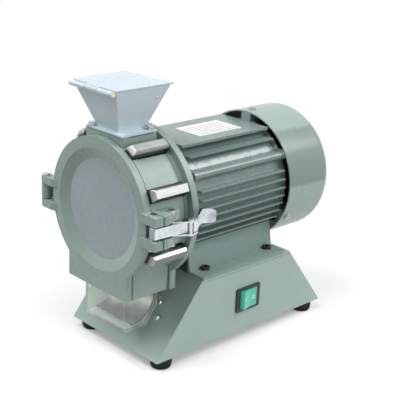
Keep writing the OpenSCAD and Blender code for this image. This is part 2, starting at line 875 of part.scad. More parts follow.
module rotor_hub() {
  color(steel) difference() {
    along_y(rotor_y0, drum_y1 - 3) difference() {
      circle(hub_r);
      circle(shaft_r);
      for (a = [0:90:359]) rotate(a) translate([22, 0]) square([20, 14]);
    }
    knife_bolt_places() cylinder(r = 2.5, h = 12, center = true);
  }
}

// Middles of the bolts' seats on the hub, with +Z leaving the hub
module knife_bolt_places() {
  for (a = [0:90:359], y = [0.28, 0.72])
    translate([0, rotor_y0 + y * (blade_y1 - rotor_y0), shaft_z]) rotate([0, -a, 0])
      translate([27, 0, 0]) children();
}

module rotor_knives() {
  color(steel) difference() {
    along_y(blade_y0, blade_y1) intersection() {
      for (a = [0:90:359]) rotate(a) translate([22, 0]) square([30, rotor_blade_t]);
      circle(blade_tip_r - cutting_gap);
    }
    knife_bolt_places() cylinder(r = 2.5, h = 20, center = true);
  }
}

module knife_bolts() {
  color(dark_steel) knife_bolt_places() {
    translate([0, 0, -6]) cylinder(r = 2.5, h = rotor_blade_t + 6);
    translate([0, 0, rotor_blade_t]) cylinder(r = 3.8, h = 3);
  }
}

module rotor_nut() {
  color(steel) along_y(drum_y0 + 5.5, drum_y0 + 10) difference() {
    hexagon(19);
    circle(6);
  }
}

// ---------- drum ----------

module knife_places() {
  for (a = knife_angles) rotate(a) children();
}

// Lugs of the latch on one side of the seam, as bands of height
module latch_lugs() {
  for (z = [latch_z - latch_half, latch_z + latch_gap / 2]) slab(z, z + latch_lug_h) children();
}

module drum_body() {
  color(paint) difference() {
    union() {
      along_y(drum_y0, drum_y1) keyhole(drum_r - band_depth, chute_w);
      for (y = [[drum_y0, drum_y0 + 7], [drum_y1 - 4.5, drum_y1]]) along_y(y[0], y[1]) circle(drum_r);
      translate([-pad_w / 2, hopper_y - pad_l / 2, shaft_z]) cube([pad_w, pad_l, pad_h]);
      latch_lugs() polygon([
        [lug_root, drum_y0 + seam_w], [latch_lug_x, drum_y0 + seam_w],
        [latch_lug_x, drum_y0 + 6], [latch_lug_x - 7, drum_y0 + 25.5],
        [lug_root, drum_y0 + 25.5]
      ]);
      slab(hinge_z - knuckle_h / 2, hinge_z + knuckle_h / 2) {
        translate([-hinge_x, hinge_y]) circle(knuckle_r);
        translate([-hinge_x - knuckle_r, hinge_y]) square([2 * knuckle_r, drum_y0 + 8 - hinge_y]);
        polygon([
          [-lug_root, drum_y0], [-hinge_x - knuckle_r, drum_y0],
          [-hinge_x - knuckle_r, drum_y0 + 8], [-hinge_x, drum_y0 + 14],
          [-lug_root, drum_y0 + 22]
        ]);
      }
    }
    // grinding chamber, feed throat and chute
    rod_y(chamber_r, drum_y0 - 20, drum_y1 + 1);
    translate([-throat / 2, hopper_y - throat / 2, shaft_z]) cube([throat, throat, pad_h + 1]);
    along_y(drum_y0 + 5, drum_y1 - 5) polygon([
      [-mouth_top_w / 2, -33], [mouth_top_w / 2, -33],
      [mouth_w / 2, -chute_drop], [mouth_w / 2, -chute_drop - 1],
      [-mouth_w / 2, -chute_drop - 1], [-mouth_w / 2, -chute_drop]
    ]);
    // step round the face, which shows as a dark seam under the door
    along_y(drum_y0 - 1, drum_y0 + seam_w) difference() {
      keyhole(drum_r + 0.6, chute_w + 1.2, 1);
      keyhole(drum_r - 1.6, chute_w - 3.2, -1);
    }
    // steps beside the chute, which show as dark seams before the back plate
    along_y(drum_y1 - plate_seam_w, drum_y1 + 1) for (side = [-1, 1])
      translate([side * chute_w / 2, -chute_drop / 2 - 20])
        square([3, chute_drop - 38], center = true);
    // pockets and slots of the fixed knives, and the groove of the sieve
    along_y(drum_y0 - 1, drum_y1 - 1.5) knife_places()
      translate([pocket_r, -pocket_w / 2]) square([30, pocket_w]);
    along_y(blade_y0 - 0.2, blade_y1 + 0.2) knife_places()
      translate([40, -blade_t / 2 - 0.2]) square([30, blade_t + 0.4]);
    along_y(drum_y0 - 1, drum_y1 + 1)
      ring_part(chamber_r - 1, sieve_out, -90 - sieve_half, -90 + sieve_half);
    // holes of the pins and bolts
    rod_z(lever_pin_r, lever_pin_x, lever_pin_y, latch_z - 30, latch_z + 30);
    rod_z(hinge_pin_r, -hinge_x, hinge_y, hinge_z - 30, hinge_z + 30);
    hopper_bolt_places() cylinder(r = 2, h = 24, center = true);
    for (at = drum_bolt_at) rod_y(2.5, drum_y1 - 14, drum_y1 + 1, at[0], at[1]);
  }
}

module back_plate() {
  color(paint) difference() {
    along_y(drum_y1, plate_y1) keyhole(drum_r + flange_out, chute_w + 6);
    rod_y(10, drum_y1 - 1, plate_y1 + 1);
    rod_y(13, drum_y1 + 1.2, plate_y1 + 1);
    for (at = drum_bolt_at) rod_y(2.5, drum_y1 - 1, plate_y1 + 1, at[0], at[1]);
    plate_screw_shapes();
  }
}

module plate_screw_shapes() {
  for (a = [45:90:359]) translate([plate_screw_r * cos(a), 0, shaft_z + plate_screw_r * sin(a)]) {
    translate([0, drum_y1, 0]) rotate([-90, 0, 0]) cylinder(r1 = 4, r2 = 2, h = 2.5);
    translate([0, drum_y1 + 2, 0]) rotate([-90, 0, 0]) cylinder(r = 2, h = back_plate_t + 6);
  }
}

module plate_screws() {
  color(steel) difference() {
    plate_screw_shapes();
    for (a = [45:90:359]) along_y(drum_y1 - 1, drum_y1 + 1.4)
      rotate(a) translate([plate_screw_r, 0]) hexagon(2.6);
  }
}

module drum_bolts() {
  color(dark_steel) for (at = drum_bolt_at) {
    rod_y(2.5, drum_y1 - 13, plate_y1, at[0], at[1]);
    along_y(plate_y1, plate_y1 + 3.5) translate(at) hexagon(8);
  }
}

module shaft_seal() {
  color(rubber) turned() polygon([
    [shaft_r + run_fit, drum_y1 + 1.2], [13, drum_y1 + 1.2], [13, plate_y1 - 0.3],
    [11, plate_y1 - 0.3], [11, drum_y1 + 3], [9.5, drum_y1 + 3], [8.6, drum_y1 + 5],
    [shaft_r + run_fit, drum_y1 + 5]
  ]);
}

module fixed_knives() {
  y0 = drum_y0 + 0.3;
  y1 = drum_y1 - 1.8;
  top = drum_r + knife_head_out;
  half = knife_head_w / 2;
  color(steel) for (a = knife_angles) translate([0, 0, shaft_z]) rotate([0, -a, 0]) {
    intersection() {
      // seen from the front, and seen along the drum's face
      rotate([90, 0, 0]) translate([0, 0, -y1]) linear_extrude(y1 - y0) polygon([
        [pocket_r, -half], [top - 3.5, -half], [top, -half + 1.8],
        [top, half - 1.8], [top - 3.5, half], [pocket_r, half]
      ]);
      linear_extrude(40, center = true) polygon([
        [pocket_r, y0], [top - 5, y0], [top, y0 + 3.5], [top, y1 - 1.5], [top - 2, y1],
        [pocket_r, y1]
      ]);
    }
    translate([blade_tip_r, blade_y0, -blade_t / 2])
      cube([pocket_r + 1 - blade_tip_r, blade_y1 - blade_y0, blade_t]);
  }
}

module sieve() {
  color(steel) difference() {
    along_y(drum_y0 + 0.5, drum_y1)
      ring_part(sieve_in, sieve_out, -90 - sieve_half, -90 + sieve_half);
    for (a = [-42:7:42], y = [-14:7:14])
      translate([0, (drum_y0 + drum_y1) / 2 + y, shaft_z]) rotate([0, a, 0])
        translate([0, 0, -60]) cylinder(r = sieve_hole_r, h = 30);
  }
}

// ---------- hopper ----------

module hopper_bolt_places() {
  for (side = [-1, 1])
    translate([side * hopper_bolt[0], hopper_y + side * hopper_bolt[1], flange_z]) children();
}

// A square funnel with sides a at height z0 and b at height z1
module funnel(a, z0, b, z1) {
  side = [[-a / 2, z0], [a / 2, z0], [b / 2, z1], [-b / 2, z1]];
  intersection() {
    along_x(-b, b) translate([hopper_y, 0]) polygon(side);
    translate([0, hopper_y + b, 0]) rotate([90, 0, 0]) linear_extrude(2 * b) polygon(side);
  }
}

module hopper() {
  wall = 2 * hopper_sheet;
  color(hopper_paint) difference() {
    union() {
      funnel(hopper_bottom, hopper_z0, hopper_top, hopper_z1);
      translate([-flange_w / 2, hopper_y - flange_l / 2, flange_z])
        cube([flange_w, flange_l, flange_t]);
      for (x = [[-hopper_top / 2, -lid_knuckle / 2 - 0.3], [lid_knuckle / 2 + 0.3, hopper_top / 2 - 2]])
        along_x(x[0], x[1]) {
          translate([lid_axis_y, lid_axis_z]) circle(lid_barrel_r);
          polygon([
            [lid_axis_y, lid_axis_z - lid_barrel_r], [lid_axis_y + 5, lid_axis_z - lid_barrel_r],
            [lid_axis_y + 3.4, hopper_z1], [lid_axis_y, hopper_z1]
          ]);
        }
    }
    funnel(
      hopper_bottom - wall - 4 * hopper_lean, hopper_z0 - 2,
      hopper_top - wall + 4 * hopper_lean, hopper_z1 + 2
    );
    translate([-15, hopper_y - 15, flange_z - 1]) cube([30, 30, 5]);
    translate([-hopper_top, lid_axis_y, lid_axis_z]) rotate([0, 90, 0])
      cylinder(r = lid_rod_r, h = 2 * hopper_top);
    hopper_bolt_places() cylinder(r = 2, h = 24, center = true);
  }
}

module hopper_bolts() {
  color(steel) hopper_bolt_places() {
    translate([0, 0, -12]) cylinder(r = 2, h = 12 + flange_t);
    translate([0, 0, flange_t]) cylinder(r = 4.4, h = 0.8);
    translate([0, 0, flange_t + 0.8]) linear_extrude(2.6) hexagon(6.8);
  }
}

module hopper_lid() {
  front = hopper_y - hopper_top / 2 + 0.3;
  rear = hopper_y + hopper_top / 2;
  color(hopper_paint) difference() {
    union() {
      slab(lid_z0, lid_z0 + lid_t) {
        translate([-hopper_top / 2, front]) square([hopper_top, rear - front]);
        translate([-lid_knuckle / 2, lid_axis_y]) square([lid_knuckle, 10]);
        polygon([
          [hopper_top / 2 - 20, rear - 1], [hopper_top / 2, rear - 1], [hopper_top / 2, rear + 4],
          [hopper_top / 2 - 4, rear + 5.5], [hopper_top / 2 - 14, rear + 5.5]
        ]);
      }
      along_x(-lid_knuckle / 2, lid_knuckle / 2)
        translate([lid_axis_y, lid_axis_z]) circle(lid_barrel_r);
    }
    translate([-hopper_top, lid_axis_y, lid_axis_z]) rotate([0, 90, 0])
      cylinder(r = lid_rod_r + run_fit, h = 2 * hopper_top);
  }
}

module lid_rod() {
  color(brass) translate([-hopper_top / 2 - 1, lid_axis_y, lid_axis_z]) rotate([0, 90, 0]) {
    cylinder(r = lid_rod_r, h = hopper_top);
    translate([0, 0, hopper_top - 1]) cylinder(r = 2.2, h = 1.2);
  }
}

// ---------- door ----------

module door() {
  color(paint) difference() {
    union() {
      along_y(door_face_y, door_back_y) keyhole(door_r, chute_w);
      rod_y(chamber_r - 0.6, door_back_y - 1, door_back_y + plug_t);
      along_y(lug_front_y, door_back_y - 0.6)
        for (z = [-latch_half, latch_gap / 2]) translate([0, latch_z - shaft_z + z]) {
          translate([lug_root + 1.1, latch_lug_h / 2]) circle(latch_lug_h / 2);
          translate([lug_root + 1.1, 0])
            square([latch_lug_x - lug_root - 1.1, latch_lug_h]);
        }
      for (z = [-hinge_half, hinge_half - door_knuckle_h])
        slab(hinge_z + z, hinge_z + z + door_knuckle_h) {
          translate([-hinge_x, hinge_y]) circle(knuckle_r);
          polygon([
            [-hinge_x, lug_front_y], [-door_r, lug_front_y], [3 - lug_root, door_face_y],
            [3 - lug_root, door_back_y], [-hinge_x, door_back_y]
          ]);
        }
    }
    // sunk dish
    turned() polygon([
      [0, door_face_y - 5], [dish_d / 2, door_face_y - 5], [dish_d / 2, door_face_y],
      [dish_floor_d / 2, door_face_y + dish_depth], [0, door_face_y + dish_depth]
    ]);
    // step beside the chute, which shows as a dark seam
    along_y(door_back_y - 0.6, door_back_y + 1) difference() {
      translate([-chute_w / 2 - 1, -chute_drop - 1]) square([chute_w + 2, chute_drop - 20]);
      keyhole(door_r + 2, chute_w - 3.2, -1.6);
    }
    // groove of the gasket
    turned() polygon([
      [gasket_r, door_back_y - 1.5], [gasket_r + 3.5, door_back_y - 1.5],
      [gasket_r + 3.5, door_back_y + 1], [gasket_r, door_back_y + 1]
    ]);
    // room for the drum's knuckle
    slab(hinge_z - knuckle_h / 2 - knuckle_gap, hinge_z + knuckle_h / 2 + knuckle_gap)
      translate([-hinge_x - 10, lug_front_y - 1]) square([hinge_x + 10 - door_r - 0.5, 30]);
    rod_z(catch_pin_r, catch_x, catch_y, latch_z - 30, latch_z + 30);
    rod_z(hinge_pin_r + run_fit, -hinge_x, hinge_y, hinge_z - 30, hinge_z + 30);
  }
}

module door_gasket() {
  color(rubber) turned() polygon([
    [gasket_r, door_back_y - 1.5], [gasket_r + 3.5, door_back_y - 1.5],
    [gasket_r + 3.5, door_back_y + 0.1], [gasket_r, door_back_y + 0.1]
  ]);
}

// A pin with a flat head at both ends
module headed_pin(r, head_r, x, y, z0, z1) {
  rod_z(r, x, y, z0, z1);
  rod_z(head_r, x, y, z1, z1 + pin_head_h);
  rod_z(head_r, x, y, z0 - pin_head_h, z0);
}

module hinge_pin() {
  color(steel)
    headed_pin(hinge_pin_r, 3.6, -hinge_x, hinge_y, hinge_z - hinge_half - 0.1,
      hinge_z + hinge_half + 0.1);
}

module catch_pin() {
  color(steel)
    headed_pin(catch_pin_r, 3.8, catch_x, catch_y, latch_z - latch_half, latch_z + latch_half);
}

// ---------- latch ----------

module latch_strap() {
  color(chrome) slab(latch_z - strap_half, latch_z + strap_half) difference() {
    union() {
      translate([catch_x, catch_y]) circle(catch_pin_r + 1.5);
      translate([catch_x, strap_front_y]) square([strap_x0 - catch_x, strap_t]);
      polygon([
        [strap_x0 - strap_t, strap_front_y], [strap_x0, strap_front_y],
        [strap_x0 + 0.6, strap_front_y + 18], [strap_x1, strap_y1],
        [strap_x1 - strap_t, strap_y1], [strap_x0 + 0.6 - strap_t, strap_front_y + 18]
      ]);
    }
    translate([catch_x, catch_y]) circle(catch_pin_r + run_fit);
  }
}

module lever_pin() {
  color(steel) headed_pin(
    lever_pin_r, 3.8, lever_pin_x, lever_pin_y, latch_z - latch_half, latch_z + latch_half
  );
}

// The cheeks of the lever, in plan
module cheek() {
  run = [toggle_x - lever_pin_x, toggle_y - lever_pin_y];
  side = [run[1], -run[0]] / norm(run);
  pin = [lever_pin_x, lever_pin_y];
  toggle = [toggle_x, toggle_y];
  difference() {
    union() {
      translate(pin) circle(5);
      translate(toggle) circle(4);
      polygon([pin + 5 * side, toggle + 4 * side, toggle - 4 * side, pin - 5 * side]);
      translate(toggle) polygon([[-3.6, -1], [3.9, 1], [1.2, 9], [-4.2, 8]]);
    }
    translate(pin) circle(lever_pin_r + run_fit);
    translate(toggle) circle(toggle_r);
  }
}

module latch_lever() {
  color(chrome) {
    for (z = [-cheek_out, cheek_out - cheek_t]) slab(latch_z + z, latch_z + z + cheek_t) cheek();
    intersection() {
      slab(latch_z - 9, latch_z + 16) translate([toggle_x, toggle_y]) polygon([
        [1.4, 2.6], [1.2, 5], [-2.9, 13.7], [-3.1, 17.2], [-0.2, 23.7], [4.6, 29.5],
        [2.6, 31.4], [-2.6, 25.1], [-5.6, 17.7], [-5.4, 13.1], [-1.4, 4], [-1.4, 2.6]
      ]);
      along_x(toggle_x - 10, toggle_x + 10) translate([toggle_y, latch_z]) {
        polygon([
          [0, -cheek_out], [9, -cheek_out], [15, -2.5], [18, -1], [24, -1], [24, 14], [18, 14],
          [14, 9], [9, cheek_out], [0, cheek_out]
        ]);
        translate([24, 6.5]) circle(7.5);
      }
    }
  }
}

module toggle_pin() {
  color(steel) {
    rod_z(toggle_r, toggle_x, toggle_y, latch_z - cheek_out, latch_z + cheek_out);
    for (z = [-cheek_out - 0.8, cheek_out]) rod_z(3, toggle_x, toggle_y, latch_z + z, latch_z + z + 0.8);
  }
}

// ---------- output ----------

base_shell();
base_floor_plate();
rubber_feet();
foot_screws();
switch_frame();
switch_rocker();
power_inlet();
inlet_blades();
run_capacitor();
capacitor_clip();
box_shelf();
shelf_screws();
motor_cradle();
cradle_bolts();
motor_housing();
front_end_shield();
rear_end_shield();
tie_bolts();
stator_core();
stator_windings();
front_bearing();
rear_bearing();
fan_cowl();
cowl_screws();
motor_shaft();
rotor_core();
cooling_fan();
rotor_hub();
rotor_knives();
knife_bolts();
rotor_nut();
drum_body();
back_plate();
drum_bolts();
plate_screws();
shaft_seal();
fixed_knives();
sieve();
hopper();
hopper_bolts();
hopper_lid();
lid_rod();
door();
door_gasket();
hinge_pin();
catch_pin();
latch_strap();
lever_pin();
latch_lever();
toggle_pin();
collecting_box();
box_liner();
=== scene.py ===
"""Dresses the electric grain mill: its finishes, rating plate, small trim and studio stage."""

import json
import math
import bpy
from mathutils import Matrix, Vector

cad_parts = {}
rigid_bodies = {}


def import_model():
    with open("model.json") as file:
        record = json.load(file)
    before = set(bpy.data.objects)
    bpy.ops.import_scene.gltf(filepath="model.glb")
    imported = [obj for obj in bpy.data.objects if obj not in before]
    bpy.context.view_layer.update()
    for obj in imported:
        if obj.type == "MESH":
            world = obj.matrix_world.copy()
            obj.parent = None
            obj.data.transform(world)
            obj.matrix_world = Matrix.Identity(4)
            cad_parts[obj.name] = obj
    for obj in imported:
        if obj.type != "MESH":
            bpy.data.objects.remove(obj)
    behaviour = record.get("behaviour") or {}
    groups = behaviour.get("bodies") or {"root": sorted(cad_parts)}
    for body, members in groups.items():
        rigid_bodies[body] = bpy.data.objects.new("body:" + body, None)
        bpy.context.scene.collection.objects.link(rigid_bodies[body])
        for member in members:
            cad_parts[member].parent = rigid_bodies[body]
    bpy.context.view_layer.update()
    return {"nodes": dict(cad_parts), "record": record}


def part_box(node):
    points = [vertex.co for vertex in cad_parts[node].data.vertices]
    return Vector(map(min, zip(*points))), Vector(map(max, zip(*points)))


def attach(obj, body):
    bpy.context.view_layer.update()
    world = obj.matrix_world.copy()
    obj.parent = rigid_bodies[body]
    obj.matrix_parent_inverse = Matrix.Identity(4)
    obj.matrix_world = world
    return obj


bl_info = {
    "name": "Grain Mill Dresser",
    "version": (1, 0, 0),
    "blender": (4, 5, 0),
    "location": "3D View > Sidebar > Mill",
    "description": "Finishes the solid model of an electric grain mill and sets it on a studio floor",
    "category": "Object",
}

import bmesh
import bpy
from bpy.props import FloatProperty, FloatVectorProperty, PointerProperty
from bpy.types import Operator, Panel, PropertyGroup
from mathutils import Matrix, Vector

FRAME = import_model()
NODES = FRAME["nodes"]
MM = 0.001

# the camera: where it stands in metres, how it is turned in radians, and its lens
CAMERA_PLACE = (0.72775, -0.69628, 0.49744)
CAMERA_YAW = 0.801934
CAMERA_PITCH = 0.334672
CAMERA_ROLL = 0.042038
CAMERA_LENS = 87.284
CAMERA_SHIFT = (0.0021, -0.0011)

# the floor fades from solid to clear between two distances from the mill
FLOOR_RADIUS = 1.2
FLOOR_FADE_START = 0.30
FLOOR_FADE_END = 0.62

# every lamp looks at this point from this far away
LAMP_AIM = Vector((0, 0, 0.14))
LAMP_DISTANCE = 1.3


# ---------------------------------------------------------------- settings


def colour(name, red, green, blue, words):
    return FloatVectorProperty(
        name=name, description=words, subtype="COLOR", size=3, min=0.0, max=1.0,
        default=(red, green, blue),
    )


class MillPaint(PropertyGroup):
    sheet: colour("Base enamel", 0.430, 0.545, 0.500, "Satin grey-green enamel of the folded base")
    casting: colour("Casting enamel", 0.315, 0.410, 0.378, "Grey-green enamel of the drum and door")
    # Darker than the drum's enamel; part of that darkness is painted shade, standing in for the shade
    # between the fins.
    motor: colour("Motor enamel", 0.225, 0.300, 0.280, "Enamel of the finned housing and its end shields")
    cradle: colour("Cradle enamel", 0.270, 0.362, 0.335, "Enamel of the cradle under the motor")
    # Painted reflection: this lighter colour is mixed into the motor enamel on faces that turn partly
    # upwards, as if a strip light were mirrored there.
    gleam: colour("Motor gleam", 0.520, 0.600, 0.580, "Where the motor enamel mirrors a strip light")
    cowl: colour("Cowl enamel", 0.366, 0.470, 0.440, "Glossy enamel of the fan cowl")
    # Painted reflection: a darker band mixed into the cowl enamel on faces that turn from level to about
    # fifty degrees up, as if a dark part of the room were mirrored there.
    cowl_reflection_band: colour("Cowl band", 0.249, 0.320, 0.297, "Darker band that the cowl mirrors")
    # Painted reflection: the dish floor's bluish grey stands in for the pale room mirrored in its satin
    # enamel.
    dish: colour("Door dish", 0.345, 0.425, 0.445, "Enamel on the floor of the door's dish")
    hopper: colour("Hopper enamel", 0.680, 0.800, 0.850, "Pale blue-grey enamel of the hopper")
    lid: colour("Lid enamel", 0.600, 0.700, 0.760, "Paler enamel of the hopper's lid")
    rocker: colour("Rocker", 0.045, 0.500, 0.350, "Green plastic of the switch's rocker")
    peel: FloatProperty(
        name="Orange peel", description="Depth of the enamel's orange peel", default=0.06,
        min=0.0, max=1.0,
    )


class MillPlate(PropertyGroup):
    length: FloatProperty(
        name="Plate length", description="Length of the rating plate along the shaft",
        default=62 * MM, min=0.01, max=0.1, unit="LENGTH",
    )
    width: FloatProperty(
        name="Plate width", description="Width of the rating plate across the shaft",
        default=39 * MM, min=0.01, max=0.07, unit="LENGTH",
    )
    lines: FloatProperty(
        name="Line spacing", description="Distance from one ruled line of the plate to the next",
        default=5.2 * MM, min=0.001, max=0.02, unit="LENGTH",
    )


class MillStudio(PropertyGroup):
    world: FloatProperty(
        name="Room light", description="Strength of the pale room round the mill", default=0.05,
        min=0.0, max=3.0,
    )
    low: FloatProperty(
        name="Low lamp", description="Power of the low lamp in front of the door", default=1.3,
        min=0.0, max=200.0, unit="POWER",
    )
    front: FloatProperty(
        name="Front lamp", description="Power of the lamp in front of the door", default=3.3,
        min=0.0, max=200.0, unit="POWER",
    )
    hinge: FloatProperty(
        name="Hinge lamp", description="Power of the lamp on the hinge's side", default=4.0,
        min=0.0, max=200.0, unit="POWER",
    )
    high: FloatProperty(
        name="High lamp", description="Power of the lamp high over the door", default=7.9,
        min=0.0, max=200.0, unit="POWER",
    )
    side: FloatProperty(
        name="Side lamp", description="Power of the low lamp that faces the switch", default=3.8,
        min=0.0, max=200.0, unit="POWER",
    )
    rear: FloatProperty(
        name="Rear lamp", description="Power of the lamp behind the switch", default=10.2,
        min=0.0, max=200.0, unit="POWER",
    )
    glow: FloatProperty(
        name="Floor glow", description="White that the floor adds to what the camera sees of it",
        default=0.22, min=0.0, max=1.0,
    )


# ---------------------------------------------------------------- node groups


def new_group(name, inputs, outputs):
    group = bpy.data.node_groups.new(name, "ShaderNodeTree")
    for label, kind, value in inputs:
        socket = group.interface.new_socket(name=label, in_out="INPUT", socket_type=kind)
        socket.default_value = value
    for label, kind in outputs:
        group.interface.new_socket(name=label, in_out="OUTPUT", socket_type=kind)
    return group, group.nodes.new("NodeGroupInput"), group.nodes.new("NodeGroupOutput")


def wire(tree, source, target):
    tree.links.new(source, target)


def feed(tree, value, socket):
    """Wires another node's socket in, or sets a plain value."""
    if hasattr(value, "links"):
        wire(tree, value, socket)
    else:
        socket.default_value = value


def noise(tree, vector, scale, detail=2.0, rough=0.5):
    node = tree.nodes.new("ShaderNodeTexNoise")
    for label, value in (
        ("Vector", vector), ("Scale", scale), ("Detail", detail), ("Roughness", rough),
    ):
        feed(tree, value, node.inputs[label])
    return node.outputs["Fac"]


def ramp(tree, value, low, high, out_low=0.0, out_high=1.0):
    node = tree.nodes.new("ShaderNodeMapRange")
    for label, number in (
        ("Value", value), ("From Min", low), ("From Max", high),
        ("To Min", out_low), ("To Max", out_high),
    ):
        feed(tree, number, node.inputs[label])
    return node.outputs["Result"]


def maths(tree, operation, *values):
    node = tree.nodes.new("ShaderNodeMath")
    node.operation = operation
    for socket, value in zip(node.inputs, values):
        feed(tree, value, socket)
    return node.outputs[0]


def vector_maths(tree, operation, *values):
    node = tree.nodes.new("ShaderNodeVectorMath")
    node.operation = operation
    for socket, value in zip(node.inputs, values):
        feed(tree, value, socket)
    return node.outputs["Value" if operation in {"LENGTH", "DOT_PRODUCT"} else "Vector"]


def scaled(tree, colour_value, factor):
    """A colour made lighter or darker by a factor."""
    node = tree.nodes.new("ShaderNodeVectorMath")
    node.operation = "SCALE"
    wire(tree, colour_value, node.inputs[0])
    wire(tree, factor, node.inputs["Scale"])
    return node.outputs[0]


def axes(tree, vector):
    """The sockets of a vector's X, Y and Z."""
    node = tree.nodes.new("ShaderNodeSeparateXYZ")
    wire(tree, vector, node.inputs[0])
    return node.outputs


def mix_colour(tree, factor, first, second):
    node = tree.nodes.new("ShaderNodeMix")
    node.data_type = "RGBA"
    feed(tree, factor, node.inputs["Factor"])
    colours = [socket for socket in node.inputs if socket.type == "RGBA"]
    for socket, value in zip(colours, (first, second)):
        feed(tree, value, socket)
    return [socket for socket in node.outputs if socket.type == "RGBA"][0]


def object_vector(tree):
    return tree.nodes.new("ShaderNodeTexCoord").outputs["Object"]


def shown_to(tree):
    """One for the rays that show the white background: straight, mirrored and let through."""
    path = tree.nodes.new("ShaderNodeLightPath")
    seen = maths(tree, "MAXIMUM", path.outputs["Is Camera Ray"],
                 path.outputs["Is Transmission Ray"])
    return maths(tree, "MAXIMUM", seen, path.outputs["Is Glossy Ray"])


def enamel_group():
    """Sprayed enamel: slow mottling of colour and gloss, and a fine orange peel."""
    group, start, end = new_group(
        "sprayed enamel",
        (
            ("Color", "NodeSocketColor", (0.3, 0.4, 0.36, 1)),
            ("Mottling", "NodeSocketFloat", 0.05),
            ("Gloss Low", "NodeSocketFloat", 0.30),
            ("Gloss High", "NodeSocketFloat", 0.42),
            ("Peel Scale", "NodeSocketFloat", 900.0),
            ("Grit", "NodeSocketFloat", 0.0),
        ),
        (("Color", "NodeSocketColor"), ("Roughness", "NodeSocketFloat"),
         ("Height", "NodeSocketFloat")),
    )
    where = object_vector(group)
    slow = noise(group, where, 22.0, 3.0, 0.55)
    middle = noise(group, where, 130.0, 2.0)
    shade = ramp(group, slow, 0.3, 0.7, -1.0, 1.0)
    amount = maths(group, "MULTIPLY", shade, start.outputs["Mottling"])
    lift = maths(group, "ADD", amount, 1.0)
    wire(group, scaled(group, start.outputs["Color"], lift), end.inputs["Color"])
    gloss = ramp(
        group, middle, 0.3, 0.7, start.outputs["Gloss Low"], start.outputs["Gloss High"]
    )
    wire(group, gloss, end.inputs["Roughness"])
    peel = noise(group, where, start.outputs["Peel Scale"], 1.0)
    grit = noise(group, where, 420.0, 5.0, 0.65)
    rough = maths(group, "MULTIPLY", grit, start.outputs["Grit"])
    wire(group, maths(group, "ADD", peel, rough), end.inputs["Height"])
    return group


def brushed_group():
    """Metal brushed in one direction: long streaks of tone and gloss."""
    group, start, end = new_group(
        "brushed metal",
        (
            ("Color", "NodeSocketColor", (0.6, 0.6, 0.6, 1)),
            ("Streaks", "NodeSocketVector", (900.0, 30.0, 900.0)),
            ("Contrast", "NodeSocketFloat", 0.25),
            ("Gloss Low", "NodeSocketFloat", 0.22),
            ("Gloss High", "NodeSocketFloat", 0.40),
        ),
        (("Color", "NodeSocketColor"), ("Roughness", "NodeSocketFloat"),
         ("Height", "NodeSocketFloat")),
    )
    where = vector_maths(group, "MULTIPLY", object_vector(group), start.outputs["Streaks"])
    streak = noise(group, where, 1.0, 3.0, 0.6)
    cloud = noise(group, object_vector(group), 60.0, 2.0)
    both = maths(group, "ADD", maths(group, "MULTIPLY", streak, 0.7),
                 maths(group, "MULTIPLY", cloud, 0.3))
    shade = ramp(group, both, 0.35, 0.65, -1.0, 1.0)
    lift = maths(group, "ADD", maths(group, "MULTIPLY", shade, start.outputs["Contrast"]), 1.0)
    wire(group, scaled(group, start.outputs["Color"], lift), end.inputs["Color"])
    wire(group, ramp(group, both, 0.35, 0.65, start.outputs["Gloss Low"],
                     start.outputs["Gloss High"]), end.inputs["Roughness"])
    wire(group, streak, end.inputs["Height"])
    return group


def disc_group():
    """A round patch about an axis along Y: one inside the radius, nought outside."""
    group, start, end = new_group(
        "round patch",
        (("Height", "NodeSocketFloat", 0.164), ("Radius", "NodeSocketFloat", 0.052),
         ("Soft Edge", "NodeSocketFloat", 0.0015)),
        (("Mask", "NodeSocketFloat"),),
    )
    apart = axes(group, object_vector(group))
    across = maths(group, "POWER", apart["X"], 2.0)
    offset = maths(group, "SUBTRACT", apart["Z"], start.outputs["Height"])
    rise = maths(group, "POWER", offset, 2.0)
    reach = maths(group, "SQRT", maths(group, "ADD", across, rise))
    inside = maths(group, "SUBTRACT", start.outputs["Radius"], reach)
    wire(group, ramp(group, inside, 0.0, start.outputs["Soft Edge"]), end.inputs["Mask"])
    return group


def painted_reflection_group():
    """A mask for painted reflections and highlights: one where a face's normal points near a direction,
    as if a room's light and dark were mirrored in a glossy finish.
    """
    group, start, end = new_group(
        "painted room reflection",
        (("Direction", "NodeSocketVector", (0.0, 0.0, 1.0)), ("Peak", "NodeSocketFloat", 1.0),
         ("Half Width", "NodeSocketFloat", 0.0), ("Fade", "NodeSocketFloat", 1.1),
         ("Unevenness", "NodeSocketFloat", 0.05), ("Patch Scale", "NodeSocketFloat", 90.0)),
        (("Mask", "NodeSocketFloat"),),
    )
    facing = vector_maths(
        group, "DOT_PRODUCT", group.nodes.new("ShaderNodeNewGeometry").outputs["Normal"],
        start.outputs["Direction"],
    )
    patches = ramp(
        group, noise(group, object_vector(group), start.outputs["Patch Scale"], 2.0),
        0.3, 0.7, -1.0, 1.0,
    )
    facing = maths(group, "ADD", facing,
                   maths(group, "MULTIPLY", patches, start.outputs["Unevenness"]))
    away = maths(group, "ABSOLUTE", maths(group, "SUBTRACT", facing, start.outputs["Peak"]))
    limit = maths(group, "ADD", start.outputs["Half Width"], start.outputs["Fade"])
    wire(group, ramp(group, away, start.outputs["Half Width"], limit, 1.0, 0.0),
         end.inputs["Mask"])
    return group


